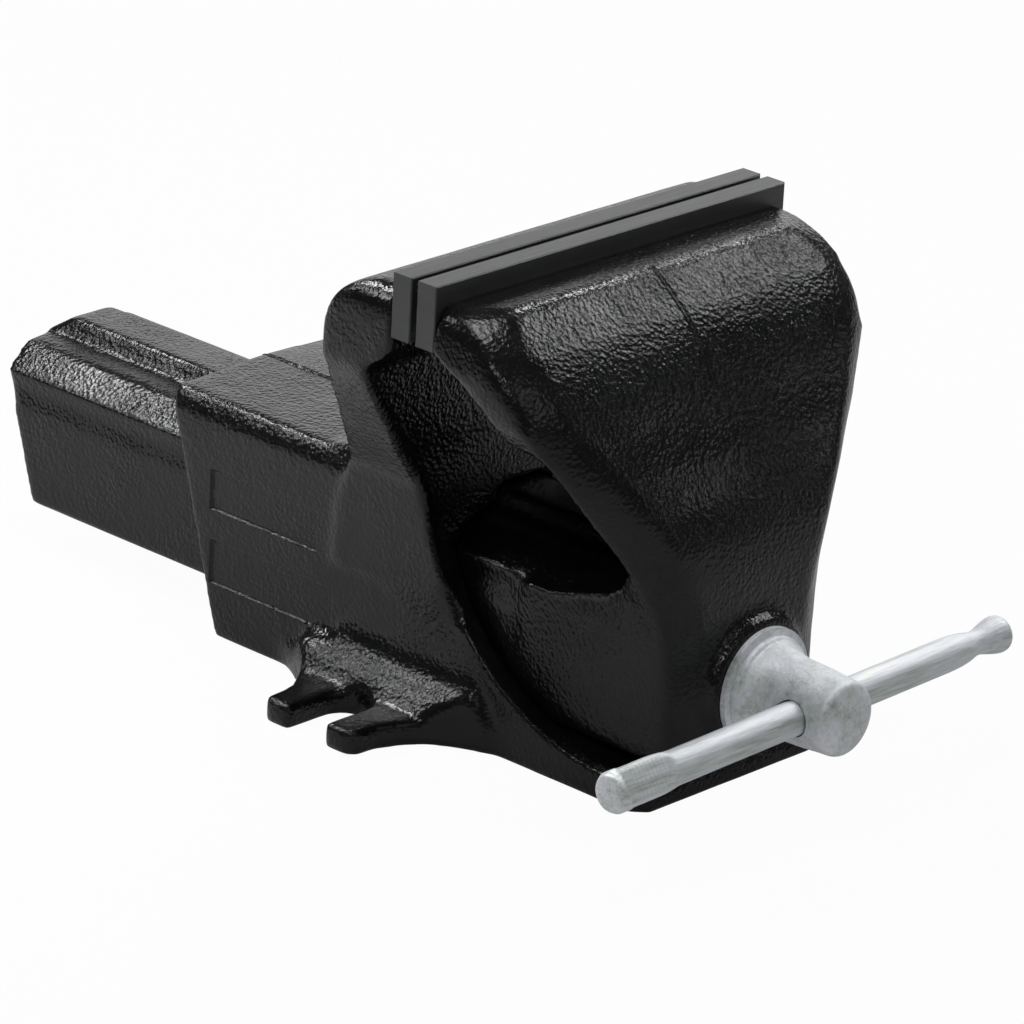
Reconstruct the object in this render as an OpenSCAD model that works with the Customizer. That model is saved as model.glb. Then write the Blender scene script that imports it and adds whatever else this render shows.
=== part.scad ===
// Engineer's bench vise: a fixed body, a sliding jaw, a screw with a tommy bar.
// X runs across the jaws, -Y points to the handle and Z is up. The origin lies on
// the bench face, midway between the two slots of the base lugs.

/* [Jaws] */
// Width of the jaw plates
jaw_w = 200; // [180:5:220]
// Height of a jaw plate
plate_h = 26.5; // [22:0.5:30]
// Thickness of a jaw plate
plate_t = 10; // [8:0.5:11]
// Height of the plates above the tops of the castings
plate_proud = 8; // [5:0.5:10]
// Height of the plates' top edge above the bench
jaw_top = 207; // [203:1:215]
// Gap between the plates as drawn
jaw_gap = 3; // [2:1:8]
// Opening travel from the drawn position
travel = 180; // [150:5:200]
// Distance of the fixed gripping face in front of the lug slots
slot_to_jaw = 47; // [42:1:52]

/* [Fixed body] */
// Width of the body over its side walls
body_w = 108; // [104:1:114]
// Height of the roof at its ridge
roof_z = 102.6; // [101:0.2:108]
// Distance of the rear face behind the lug slots, at the bench
rear_y = 100; // [90:1:115]
// Lean of the rear face
rear_lean = 17; // [10:1:22]
// Thickness of the floor under the slide
floor_t = 13; // [11:0.5:15]
// Distance of the toe in front of the lug slots
toe_y = 138.5; // [134:0.5:142]
// Radius of the throat between the jaws and the slide
throat_r = 102; // [96:1:106]
// Depth of the throat behind the fixed plate
throat_depth = 21; // [19:0.5:24]
// Depth of the fixed jaw's head behind its plate
head_depth = 38; // [36:0.5:42]
// Step of the jaw's root beyond the body's side walls
root_step = 1.5; // [0.5:0.5:3]

/* [Lugs] */
// Distance that the lug ends reach beyond the ends of the jaws
lug_overhang = 0; // [-5:1:5]
// Thickness of a lug
lug_t = 11; // [9:0.5:14]
// Width of the bolt slots
slot_w = 20; // [16:0.5:22]
// Distance of the slots' round ends from the centre line
slot_x = 78; // [77:1:84]

/* [Slide] */
// Width of the slide
slide_w = 84; // [80:1:86]
// Height of the slide's legs above the bench
slide_base = 17; // [16:0.5:19]
// Height of the slide's shoulders above the bench
shoulder_z = 83; // [82:0.5:84]
// Rise of the ridge above the shoulders
ridge_rise = 8.5; // [6:0.5:9]
// Wall of the slide round its channel
slide_wall = 10; // [8:0.5:11]
// Gap between the slide and the body all round
slide_clear = 0.4; // [0.3:0.05:0.5]
// Length of slide that stays in the body when fully open
slide_hold = 55; // [40:1:60]

/* [Movable jaw] */
// Depth of the jaw from its plate to its front face
shield_depth = 84.5; // [80:0.5:88]
// Thickness of the wall that carries the screw
front_wall = 24.5; // [22:0.5:30]
// Swell of the jaw's ends beyond the plate
shield_swell = 2.5; // [0:0.5:3]
// Diameter of the boss round the screw
boss_d = 56; // [52:1:56]
// Height of the boss above the front face
boss_h = 5.5; // [2:0.5:7]

/* [Screw] */
// Height of the screw's axis above the bench
axis_z = 45.4; // [45:0.2:49]
// Outer diameter of the thread
screw_d = 24; // [22:0.5:24.5]
// Pitch of the thread
pitch = 5; // [4:0.5:6]
// Diameter of the journal that turns in the jaw
journal_d = 25; // [25:0.1:26]
// Radial running clearance of the screw in the jaw and in the nut
run_clear = 0.06; // [0.03:0.01:0.09]
// Play of the screw along its axis in the jaw
end_play = 0.1; // [0.05:0.05:0.3]
// Diameter of the flange
flange_d = 43; // [42:0.2:46]
// Diameter of the head at its cross hole
head_d = 33.4; // [32:0.2:34]
// Distance of the cross hole in front of the flange's back face
cross_out = 26.2; // [26:0.1:34]
// Distance from the cross hole to the end of the head
nose_out = 16.1; // [15.5:0.1:18]
// Thickness of the thrust washers
washer_t = 2.4; // [1.6:0.2:3]
// Diameter of the front thrust washer
washer_d = 49; // [46:0.5:50]

/* [Handle] */
// Diameter of the handle bar
handle_d = 14; // [13:0.1:15]
// Radial gap of the bar in its cross hole
handle_clear = 0.45; // [0.3:0.05:0.5]
// Length of the bar left of the screw
handle_left = 118.5; // [110:0.5:130]
// Length of the bar right of the screw
handle_right = 110.5; // [105:0.5:125]
// Angle of the bar to the bench
handle_tilt = 1.2; // [0:0.1:5]

/* [Nut and fasteners] */
// Length of the nut
nut_l = 44; // [40:1:50]
// Outer diameter of the nut round the screw
nut_d = 44; // [40:1:48]
// Height of the nut's seat above the bench
nut_seat = 24; // [22:0.5:25]
// Diameter of the nut bolts
bolt_d = 10; // [8:1:10]
// Distance of the nut bolts from the centre line
bolt_x = 21; // [20.5:0.5:22]
// Diameter of the nut's dowels
dowel_d = 8; // [6:0.5:8]
// Distance of the dowels from the middle of the nut
dowel_y = 15; // [13:0.5:16]
// Length of a dowel
dowel_l = 19; // [16:0.5:19]
// Diameter of the jaw plates' screws
plate_screw_d = 8; // [6:0.5:8]
// Distance of the plate screws from the centre line
plate_screw_x = 60; // [50:1:75]
// Diameter of the back-off spring's wire
spring_wire = 2.6; // [2:0.1:2.8]
// Length of the back-off spring
spring_l = 20.4; // [18:0.2:24]
// Diameter of the pins that cross the screw
cross_pin_d = 4; // [3:0.5:5]

/* [Hidden] */
$fn = 64;
cut = 1;              // how far a cut runs past the face it opens
fit = 0.05;           // radial gap of a pin, bolt or washer on its seat
jaw_half = jaw_w / 2;
slide_half = slide_w / 2;
body_half = body_w / 2;
lug_reach = jaw_half + lug_overhang;
lean = tan(rear_lean);

// Places along Y
fixed_face = -slot_to_jaw;
fixed_seat = fixed_face + plate_t;
moving_face = fixed_face - jaw_gap;
moving_seat = moving_face - plate_t;
shield_front = moving_seat - shield_depth;
boss_face = shield_front - boss_h;
channel_front = shield_front + front_wall;
throat_back = fixed_seat + throat_depth;
throat_y = throat_back - throat_r;
head_back = fixed_seat + head_depth;
nut_front = throat_back + 6;
nut_rear = nut_front + nut_l;
nut_mid = (nut_front + nut_rear) / 2;
slide_end = throat_back + travel + slide_hold;

// Heights
cast_top = jaw_top - plate_proud;
plate_foot = jaw_top - plate_h;
plate_screw_z = plate_foot + 10;
ear_z = plate_foot - 17.5;
fan_foot = 60;        // where the jaws start to spread
throat_z = floor_t + throat_r;
channel_top = shoulder_z - slide_wall - 1;
channel_half = slide_half - slide_wall;
slide_bend = shoulder_z - 9.5;
seam_z = slide_bend - 7;
ridge_half = 11.6;
ridge_z = shoulder_z + ridge_rise;
groove_half = channel_half - 1;
pedestal_half = channel_half - 4;

// Spindle stack, from the front to the rear
front_washer_y = boss_face - end_play - washer_t;
rear_washer_y = channel_front + end_play;
spring_y = rear_washer_y + washer_t;
seat_washer_y = spring_y + spring_l;
split_pin_y = seat_washer_y + washer_t + cross_pin_d / 2;
collar_t = 8;
collar_y = nut_rear + travel + 0.5;
spindle_end = collar_y + collar_t + 4;
cross_y = front_washer_y - cross_out;
thread_y = split_pin_y + 6;
screw_r = screw_d / 2;
thread_h = pitch / 2;
thread_flat = 0.366 * pitch;
spring_r = screw_r + fit + 1 + spring_wire;
seat_d = 2 * (spring_r + spring_wire / 2 + 1);

// Plate screws, flat head
plate_head_h = 4.6;
plate_head_d = 2 * plate_screw_d;
plate_head_sink = 0.5;
plate_screw_l = plate_t + 16;

// Nut bolts
bolt_head_h = 6.4;
bolt_sink_d = 2.2 * bolt_d;
bolt_sink_z = 10.5;
bolt_washer_t = 2;
bolt_tip_z = nut_seat + 1.2 * bolt_d;
dowel_foot = nut_seat - 1.5 * dowel_d;

// Width of the spreading jaws: share of the spread against share of the height
fan_curve = [[0, 0], [0.1, 0.02], [0.22, 0.08], [0.34, 0.2], [0.46, 0.335],
    [0.6, 0.52], [0.75, 0.705], [0.9, 0.89], [0.96, 0.96], [1, 1]];

// Sections of the movable jaw from the top down: share of the height, depth of the
// rim and of the front as shares of the depth, swell of the rim as a share
shape_rows = [[0, 0.0276, 0.226, -3.6], [0.005, 0.0718, 0.2584, -2.2],
    [0.013, 0.1209, 0.2849, -1.2], [0.044, 0.2633, 0.3664, -0.1],
    [0.08, 0.3615, 0.4617, 0.4], [0.12, 0.445, 0.5383, 0.9], [0.165, 0.5089, 0.6071, 0.6],
    [0.215, 0.5629, 0.669, 0], [0.265, 0.6071, 0.725, 0], [0.337, 0.6729, 0.8183, 0],
    [0.424, 0.725, 0.9116, 0], [0.505, 0.779, 0.9686, 0], [0.571, 0.8389, 0.9902, 0.15],
    [0.643, 0.887, 0.998, 0.45], [0.71, 0.9136, 1, 0.55], [0.79, 0.9234, 1, 0.5],
    [0.88, 0.9273, 1, 0.3], [0.915, 0.9214, 1, 0], [1, 0.9214, 1, 0]];

// Share of the half width where the front turns into the flank, against height
flank_start = [[60, 0.66], [130, 0.74], [180, 0.84]];
front_steps = 3;
flank_steps = 5;

// ---------- helpers ----------

// An arc of n steps round (cx, cy)
function arc(cx, cy, r, a0, a1, n = 8) =
    [for (i = [0:n]) let (a = a0 + (a1 - a0) * i / n) [cx + r * cos(a), cy + r * sin(a)]];

// A list of points and its mirror image, as one closed outline
function both_sides(pts) =
    concat(pts, [for (i = [len(pts) - 1:-1:0]) [-pts[i][0], pts[i][1]]]);

// A (y, z) outline drawn out across X, w wide
module across(w) {
    rotate([90, 0, 90]) translate([0, 0, -w / 2]) linear_extrude(w) children();
}

// An (x, z) outline drawn out along Y, from y0 to y1
module along(y0, y1) {
    translate([0, y1, 0]) rotate([90, 0, 0]) linear_extrude(y1 - y0) children();
}

// A round bar along Y on the screw's axis
module axial(d, y0, y1) {
    translate([0, y1, axis_z]) rotate([90, 0, 0]) cylinder(d = d, h = y1 - y0);
}

// A ring round the screw's axis
module axial_ring(d, hole, y0, y1) {
    difference() {
        axial(d, y0, y1);
        axial(hole, y0 - cut, y1 + cut);
    }
}

module left_and_right(x) {
    translate([-x, 0, 0]) children();
    translate([x, 0, 0]) children();
}

// ---------- outlines ----------

function fan_half(z) = z >= ear_z ? jaw_half
    : slide_half + (jaw_half - slide_half) * lookup((z - fan_foot) / (ear_z - fan_foot), fan_curve);

// Cross section of the slide, grown by a clearance c, with a seam g deep in its sides
function slide_outline(c, g) = both_sides([[slide_half + c, slide_base - c],
    [slide_half + c, seam_z - 7], [slide_half + c - g, seam_z], [slide_half + c, slide_bend + c],
    [slide_half - 14 + c, shoulder_z + c], [ridge_half + 4.4 + c, shoulder_z + 1 + c],
    [ridge_half + c, ridge_z + c]]);

// Side view of the fixed body's lower half: toe, throat, roof height, leaning rear
body_side = concat([[-toe_y, 0], [1.5 - toe_y, floor_t - 6], [5 - toe_y, floor_t - 2],
    [11 - toe_y, floor_t]], arc(throat_y, throat_z, throat_r, -88, -6, 20),
    [[rear_y + (roof_z + cut) * lean, roof_z + cut], [rear_y, 0]]);

// Side view of the fixed jaw above the slide
head_side = concat(arc(throat_y, throat_z, throat_r, -36, 0, 10),
    arc(fixed_seat + 3.5, plate_foot - 24.5, 12, 0, 75, 6),
    [[fixed_seat, plate_foot - 6], [fixed_seat, cast_top]],
    arc(head_back - 26.5, cast_top - 26.5, 26.5, 79, 0, 10),
    [[head_back, cast_top - 41], [head_back + 2.5, cast_top - 47],
    [head_back + 6, cast_top - 55], [head_back + 9.5, cast_top - 66],
    [head_back + 13, cast_top - 75], [head_back + 18, roof_z + 10.4],
    [head_back + 26.6, roof_z - 6.2], [head_back + 30.6, roof_z - 25],
    [head_back + 32, fan_foot - 5]]);

// Front view of the fixed jaw
head_front = both_sides(concat([[body_half + root_step, fan_foot - 5],
    [body_half + root_step, fan_foot + 30]],
    [for (i = [8:20]) let (z = fan_foot + (ear_z - fan_foot) * i / 20) [fan_half(z), z]],
    arc(jaw_half - 11, cast_top - 11, 11, 0, 90, 6)));

// Front view of the body's walls and roof
roof_front = both_sides([[body_half, 0], [body_half, roof_z - 9],
    [body_half - 4, roof_z - 1.6], [0, roof_z]]);

// Plan of a lug on the right-hand side
lug_plan = concat([[body_half - 14, 62], [body_half, 62], [body_half + 2, 55],
    [body_half + 12, 37], [lug_reach - 18, 26], [lug_reach - 2, 24], [lug_reach, 21],
    [lug_reach, slot_w / 2]], arc(slot_x, 0, slot_w / 2, 90, 270, 16),
    [[lug_reach, -slot_w / 2], [lug_reach, -21], [lug_reach - 3.4, -26.2],
    [lug_reach - 12.6, -26.2], [body_half + 22, -30.4], [body_half + 13, -36.8],
    [body_half + 7, -45.8], [body_half + 2.8, -57], [body_half, -63], [body_half - 14, -63]]);

// ---------- fixed body ----------

module lug() {
    linear_extrude(lug_t) polygon(lug_plan);
    // Rounded ridge along the wall, with a flare up to it
    intersection() {
        linear_extrude(40) polygon(lug_plan);
        along(-57, 62) polygon([[body_half - 14, 0], [body_half - 14, 40], [body_half, 40],
            [body_half + 0.9, 31], [body_half + 3, 25.5], [body_half + 6, 21.8],
            [body_half + 9, 19.2], [body_half + 12, 16], [body_half + 14, 13],
            [body_half + 14.6, lug_t], [body_half + 14.6, 0]]);
        across(2 * lug_reach) polygon([[-57, 0], [-57, lug_t + 2], [-50, 24], [-40, 38],
            [17, 38], [30, 22.5], [42, 21], [52, lug_t], [52, 0]]);
    }
}

module body_mass() {
    intersection() {
        across(body_w + 2) polygon(body_side);
        along(-toe_y - cut, rear_y + 60) polygon(roof_front);
    }
    intersection() {
        across(jaw_w + 2) polygon(head_side);
        along(throat_back - 60, head_back + 40) polygon(head_front);
    }
    // Sweep from the roof up into the back of the jaw
    across(body_w - 8) polygon([[head_back, roof_z - 8], [head_back, roof_z + 20],
        [head_back + 18, roof_z + 10.4], [head_back + 28, roof_z + 2],
        [head_back + 41, roof_z - 1.4], [head_back + 41, roof_z - 8]]);
    lug();
    mirror([1, 0, 0]) lug();
}

// Bevels the two front corners of the toe
module toe_corners() {
    left_and_right(body_half) translate([0, -toe_y, -cut]) rotate([0, 0, 45])
        cube([9, 9, 2 * throat_r], center = true);
}

module nut_pedestal() {
    translate([-pedestal_half, nut_front - 4, 0])
        cube([2 * pedestal_half, nut_l + 8, nut_seat]);
}

// Two sunk panels in each side wall
module side_panels() {
    translate([body_half - 1.2, 43, 55]) cube([4, 61, 17]);
    translate([body_half - 1.2, 33, 23]) cube([4, 70, 18.5]);
}

module fixed_body() color("#2b2d31") {
    difference() {
        union() {
            difference() {
                body_mass();
                along(-toe_y - 10, rear_y + 60) polygon(slide_outline(slide_clear, 0));
                translate([-groove_half, -toe_y - cut, floor_t])
                    cube([2 * groove_half, toe_y + rear_y + 60, 10]);
            }
            nut_pedestal();
        }
        left_and_right(bolt_x) translate([0, nut_mid, 0]) {
            translate([0, 0, -cut]) cylinder(d = bolt_sink_d, h = bolt_sink_z + cut);
            cylinder(d = bolt_d + 1, h = nut_seat + cut);
        }
        dowel_holes();
        left_and_right(plate_screw_x) plate_hole(fixed_seat);
        side_panels();
        mirror([1, 0, 0]) side_panels();
        toe_corners();
    }
}

// ---------- movable jaw ----------

// One half of a section: shares of the half width, from the middle to the rim
function half_steps(u0) = concat([for (i = [0:front_steps]) u0 * i / front_steps],
    [for (i = [1:flank_steps]) u0 + (1 - u0) * i / flank_steps]);

function row_u(u0) = let (h = half_steps(u0), n = len(h))
    concat([for (i = [n - 1:-1:1]) -h[i]], h);

// How far the front has fallen back towards the rim at the share u
function fall(u, u0) = 0.06 * u * u + 0.94 * pow(max(0, (abs(u) - u0) / (1 - u0)), 1.3);

function section(row) = let (z = cast_top - row[0] * (cast_top - slide_base),
    half = fan_half(z) + row[3] * shield_swell, u0 = lookup(z, flank_start),
    rim = row[1] * shield_depth, front = row[2] * shield_depth)
    concat([[-half, moving_seat, z]],
    [for (u = row_u(u0)) [half * u, moving_seat - front + (front - rim) * fall(u, u0), z]],
    [[half, moving_seat, z]]);

module shield_loft() {
    n = 2 * (front_steps + flank_steps) + 3;
    rows = len(shape_rows);
    points = [for (row = shape_rows) each section(row)];
    walls = [for (r = [0:rows - 2], i = [0:n - 1]) let (j = (i + 1) % n,
        a = r * n + i, b = r * n + j, c = (r + 1) * n + j, d = (r + 1) * n + i)
        each [[a, b, c], [a, c, d]]];
    caps = [[for (i = [n - 1:-1:0]) i], [for (i = [0:n - 1]) (rows - 1) * n + i]];
    polyhedron(points, concat(walls, caps));
}

// The hollow behind the jaw, above the slide, as depths from the plate seat
module throat_hollow() {
    across(jaw_w + 20) polygon([for (p = [[-2, plate_foot], [0, plate_foot],
        [10.5, plate_foot - 5.5], [18.5, plate_foot - 10.5], [25.5, plate_foot - 16.5],
        [30, plate_foot - 23.5], [32.5, plate_foot - 29.5], [38.5, plate_foot - 30.5],
        [46.5, plate_foot - 31], [50.5, plate_foot - 34.5], [53.5, plate_foot - 43],
        [57.8, shoulder_z + 38.8], [62.4, shoulder_z + 24], [65.5, shoulder_z + 16],
        [56.5, shoulder_z + 6], [48.5, shoulder_z + 1], [33.5, shoulder_z - 4],
        [15.5, slide_bend], [-2, slide_bend]]) [moving_seat - p[0], p[1]]]);
}

module slide_beam() {
    intersection() {
        along(moving_seat - 71.5, slide_end + 60) polygon(slide_outline(0, 1.5));
        across(slide_w + 2) polygon([[moving_seat - 72.5, 0], [slide_end, 0],
            [slide_end + (shoulder_z + 1) * lean, shoulder_z + 1],
            [slide_end + shoulder_z * lean - 12, ridge_z + 1], [moving_seat - 72.5, ridge_z + 1]]);
    }
    // The ridge climbs into the back of the jaw
    across(2 * ridge_half + 8) polygon([[moving_seat - 41.5, shoulder_z],
        [moving_seat - 41.5, ridge_z], [moving_seat - 51.5, ridge_z + 0.5],
        [moving_seat - 59.5, ridge_z + 3.5], [moving_seat - 67.5, shoulder_z + 18],
        [moving_seat - 67.5, shoulder_z]]);
}

module movable_jaw() color("#2b2d31") {
    difference() {
        union() {
            difference() {
                shield_loft();
                throat_hollow();
            }
            slide_beam();
            axial(boss_d, boss_face, channel_front);
        }
        translate([-channel_half, channel_front, slide_base - cut])
            cube([2 * channel_half, slide_end + 60 - channel_front,
                channel_top - slide_base + cut]);
        axial(journal_d + 2 * run_clear, boss_face - cut, channel_front + cut);
        mirror([0, 1, 0]) left_and_right(plate_screw_x) plate_hole(-moving_seat);
    }
}

// ---------- jaw plates and their screws ----------

// Threaded hole behind a plate that sits at y, opening towards -Y
module plate_hole(y) {
    translate([0, y - cut, plate_screw_z]) rotate([-90, 0, 0])
        cylinder(d = plate_screw_d + 2 * fit, h = plate_screw_l - plate_t + 2 + cut);
}

// A plate whose gripping face is at y = 0 and whose back looks to +Y
module jaw_plate() {
    difference() {
        translate([-jaw_half, 0, plate_foot]) cube([jaw_w, plate_t, plate_h]);
        left_and_right(plate_screw_x) translate([0, 0, plate_screw_z]) rotate([-90, 0, 0]) {
            translate([0, 0, -cut]) cylinder(d = plate_screw_d + 2 * fit, h = plate_t + 2 * cut);
            translate([0, 0, -cut]) cylinder(d = plate_head_d + 0.4, h = plate_head_sink + cut);
            translate([0, 0, plate_head_sink]) cylinder(d1 = plate_head_d + 0.4,
                d2 = plate_screw_d + 0.4, h = plate_head_h);
        }
    }
}

// A flat-headed screw with a hexagon socket, its head at the plate's face
module plate_screw() {
    translate([0, 0, plate_screw_z]) rotate([-90, 0, 0]) difference() {
        union() {
            translate([0, 0, plate_head_sink]) cylinder(d1 = plate_head_d,
                d2 = plate_screw_d, h = plate_head_h);
            translate([0, 0, plate_head_sink + plate_head_h - 0.5])
                cylinder(d = plate_screw_d, h = plate_screw_l - plate_head_h - plate_head_sink);
        }
        cylinder(d = 0.72 * plate_screw_d, h = plate_head_h, $fn = 6);
    }
}

module fixed_jaw_plate() color("#55585c") {
    translate([0, fixed_face, 0]) jaw_plate();
}

module movable_jaw_plate() color("#55585c") {
    translate([0, moving_face, 0]) mirror([0, 1, 0]) jaw_plate();
}

module fixed_plate_screws() color("#303236") {
    translate([0, fixed_face, 0]) left_and_right(plate_screw_x) plate_screw();
}

module movable_plate_screws() color("#303236") {
    translate([0, moving_face, 0]) mirror([0, 1, 0]) left_and_right(plate_screw_x) plate_screw();
}

// ---------- spindle ----------

// Half outline of the turned spindle: radius against distance behind the flange's back
spindle_outline = concat([[0, -cross_out - nose_out], [head_d / 2 - 4.3, -cross_out - nose_out],
    [head_d / 2 - 2.4, -cross_out - nose_out + 0.7], [head_d / 2 - 1.4, -cross_out - nose_out + 2],
    [head_d / 2 - 1.1, -cross_out - nose_out + 3.6], [head_d / 2 - 1, -cross_out - 8],
    [head_d / 2 - 0.2, 3 - cross_out], [head_d / 2, 9 - cross_out], [head_d / 2 + 0.3, -13],
    [head_d / 2 + 0.9, -9], [head_d / 2 + 1.8, -6.4], [head_d / 2 + 2.9, -4.6],
    [head_d / 2 + 3.6, -3.7], [flange_d / 2 - 0.7, -3.4],
    [flange_d / 2, -2.6], [flange_d / 2, -0.6], [flange_d / 2 - 0.6, 0], [journal_d / 2, 0],
    [journal_d / 2, channel_front - front_washer_y],
    [screw_r, channel_front - front_washer_y], [screw_r, thread_y - front_washer_y]],
    [for (i = [0:floor((collar_y - 2 - thread_y) / pitch) - 1])
        let (y = thread_y - front_washer_y + i * pitch + thread_flat)
        each [[screw_r, y], [screw_r - thread_h, y + 0.134 * pitch],
            [screw_r - thread_h, y + 0.134 * pitch + thread_flat],
            [screw_r, y + 0.268 * pitch + thread_flat]]],
    [[screw_r, spindle_end - 1.5 - front_washer_y], [screw_r - 1.5, spindle_end - front_washer_y],
    [0, spindle_end - front_washer_y]]);

// Puts an object drawn along X on the handle's place
module on_handle() {
    translate([0, cross_y, axis_z]) rotate([0, -handle_tilt, 0]) children();
}

module spindle() color("#b4b8bd") {
    difference() {
        translate([0, front_washer_y, axis_z]) rotate([-90, 0, 0])
            rotate_extrude() polygon(spindle_outline);
        on_handle() rotate([0, 90, 0])
            cylinder(d = handle_d + 2 * handle_clear, h = 60, center = true);
        translate([0, split_pin_y, axis_z])
            cylinder(d = cross_pin_d + 2 * fit, h = screw_d + 4, center = true);
        translate([0, collar_y + collar_t / 2, axis_z])
            cylinder(d = cross_pin_d + 2 * fit, h = screw_d + 4, center = true);
    }
}

module handle_bar() color("#b4b8bd") {
    r = handle_d / 2;
    flat_r = 0.39 * handle_d;     // half the thickness over the flats
    on_handle() {
        rotate([0, 90, 0]) rotate_extrude() polygon([[0, -handle_left], [r - 0.8, -handle_left],
            [r + 0.2, 0.6 - handle_left], [r + 0.7, 2 - handle_left], [r + 0.9, 4 - handle_left],
            [r + 0.7, 7.5 - handle_left], [r - 0.2, 9 - handle_left],
            [flat_r - 0.2, 11 - handle_left], [flat_r - 0.2, 29 - handle_left],
            [r, 33 - handle_left], [r, handle_right - 34], [r - 0.3, handle_right - 27],
            [r - 0.9, handle_right - 22], [r - 2, handle_right - 18.5],
            [r - 2, handle_right - 16.5], [r - 1.3, handle_right - 13.5],
            [r - 0.6, handle_right - 10], [r + 0.1, handle_right - 7],
            [r + 0.6, handle_right - 4], [r + 0.65, handle_right - 2.2],
            [r + 0.2, handle_right - 0.4], [r - 0.8, handle_right],
            [r - 1.8, handle_right], [r - 2.4, handle_right - 0.6], [0, handle_right - 0.6]]);
        // Flattened stop, its flats turned towards the front
        rotate([56, 0, 0]) intersection() {
            translate([8 - handle_left, -r - 1, -flat_r]) cube([26, 2 * r + 2, 2 * flat_r]);
            linear_extrude(handle_d, center = true) polygon([[8 - handle_left, 3 - r],
                [10.5 - handle_left, -r - 1], [24 - handle_left, -r - 1],
                [33 - handle_left, 3 - r], [33 - handle_left, r - 3],
                [24 - handle_left, r + 1], [10.5 - handle_left, r + 1],
                [8 - handle_left, r - 3]]);
        }
    }
}

module front_thrust_washer() color("#b4b8bd") {
    axial_ring(washer_d, journal_d + 2 * fit, front_washer_y, front_washer_y + washer_t);
}

module rear_thrust_washer() color("#8f9296") {
    axial_ring(seat_d, screw_d + 2 * fit, rear_washer_y, rear_washer_y + washer_t);
}

module spring_seat_washer() color("#8f9296") {
    axial_ring(seat_d, screw_d + 2 * fit, seat_washer_y, seat_washer_y + washer_t);
}

// Compression spring: close end coils, open middle coils
module back_off_spring() color("#6e7276") {
    turns = 4.5;
    wire_sides = 8;
    steps = 14 * turns;
    rise = spring_l - 2 * fit - spring_wire;
    end_rise = 0.75 * (spring_wire + 0.1);
    lay = [[0, 0], [0.75, end_rise], [turns - 0.75, rise - end_rise], [turns, rise]];
    points = [for (s = [0:steps], k = [0:wire_sides - 1]) let (t = turns * s / steps,
        r = spring_r + spring_wire / 2 * cos(360 * k / wire_sides),
        y = spring_y + fit + spring_wire / 2 + lookup(t, lay)
            + spring_wire / 2 * sin(360 * k / wire_sides))
        [r * cos(360 * t), y, axis_z + r * sin(360 * t)]];
    walls = [for (s = [0:steps - 1], k = [0:wire_sides - 1]) let (m = (k + 1) % wire_sides,
        a = s * wire_sides + k, b = s * wire_sides + m) each
        [[a, a + wire_sides, b + wire_sides], [a, b + wire_sides, b]]];
    caps = [[for (k = [0:wire_sides - 1]) k],
        [for (k = [wire_sides - 1:-1:0]) steps * wire_sides + k]];
    polyhedron(points, concat(walls, caps));
}

// Cotter with an eye above and spread tips below
module split_pin() color("#8f9296") {
    reach = seat_d / 2;
    translate([0, split_pin_y, axis_z]) {
        translate([0, 0, -reach]) cylinder(d = cross_pin_d, h = 2 * reach);
        translate([0, 0, reach + 1.6]) rotate([90, 0, 0]) rotate_extrude()
            translate([3, 0]) circle(d = 0.45 * cross_pin_d, $fn = 24);
        left_and_right(1) translate([0, 0, -reach])
            rotate([180, 0, 0]) cylinder(d = 0.45 * cross_pin_d, h = 3);
    }
}

module stop_collar() color("#8f9296") {
    difference() {
        axial_ring(1.5 * screw_d, screw_d + 2 * fit, collar_y, collar_y + collar_t);
        translate([0, collar_y + collar_t / 2, axis_z])
            cylinder(d = cross_pin_d + 2 * fit, h = 2 * screw_d, center = true);
    }
}

module stop_pin() color("#6e7276") {
    translate([0, collar_y + collar_t / 2, axis_z])
        cylinder(d = cross_pin_d, h = 1.5 * screw_d - 1, center = true);
}

// ---------- nut ----------

module dowel_holes() {
    for (y = [nut_mid - dowel_y, nut_mid + dowel_y])
        translate([0, y, dowel_foot]) cylinder(d = dowel_d + 2 * fit, h = dowel_l + 0.5);
}

module spindle_nut() color("#8a8d90") {
    difference() {
        union() {
            intersection() {
                axial(nut_d, nut_front, nut_rear);
                translate([-nut_d / 2, nut_front, nut_seat]) cube([nut_d, nut_l, 2 * nut_d]);
            }
            translate([-nut_d / 2, nut_front, nut_seat]) cube([nut_d, nut_l, axis_z - nut_seat]);
            translate([-pedestal_half, nut_front, nut_seat]) cube([2 * pedestal_half, nut_l, 14]);
        }
        axial(screw_d + 2 * run_clear, nut_front - cut, nut_rear + cut);
        left_and_right(bolt_x) translate([0, nut_mid, nut_seat - cut])
            cylinder(d = bolt_d + 2 * fit, h = bolt_tip_z - nut_seat + 1 + cut);
        dowel_holes();
    }
}

module nut_bolts() color("#303236") {
    left_and_right(bolt_x) translate([0, nut_mid, 0]) {
        translate([0, 0, bolt_sink_z - bolt_washer_t - bolt_head_h])
            cylinder(d = 1.85 * bolt_d, h = bolt_head_h, $fn = 6);
        translate([0, 0, bolt_sink_z - bolt_washer_t - 1])
            cylinder(d = bolt_d, h = bolt_tip_z - bolt_sink_z + bolt_washer_t + 1);
    }
}

module nut_washers() color("#8f9296") {
    left_and_right(bolt_x) translate([0, nut_mid, bolt_sink_z - bolt_washer_t]) difference() {
        cylinder(d = 2 * bolt_d, h = bolt_washer_t);
        translate([0, 0, -cut]) cylinder(d = bolt_d + 2 * fit, h = bolt_washer_t + 2 * cut);
    }
}

module nut_dowels() color("#6e7276") {
    for (y = [nut_mid - dowel_y, nut_mid + dowel_y])
        translate([0, y, dowel_foot]) cylinder(d = dowel_d, h = dowel_l);
}

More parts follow.
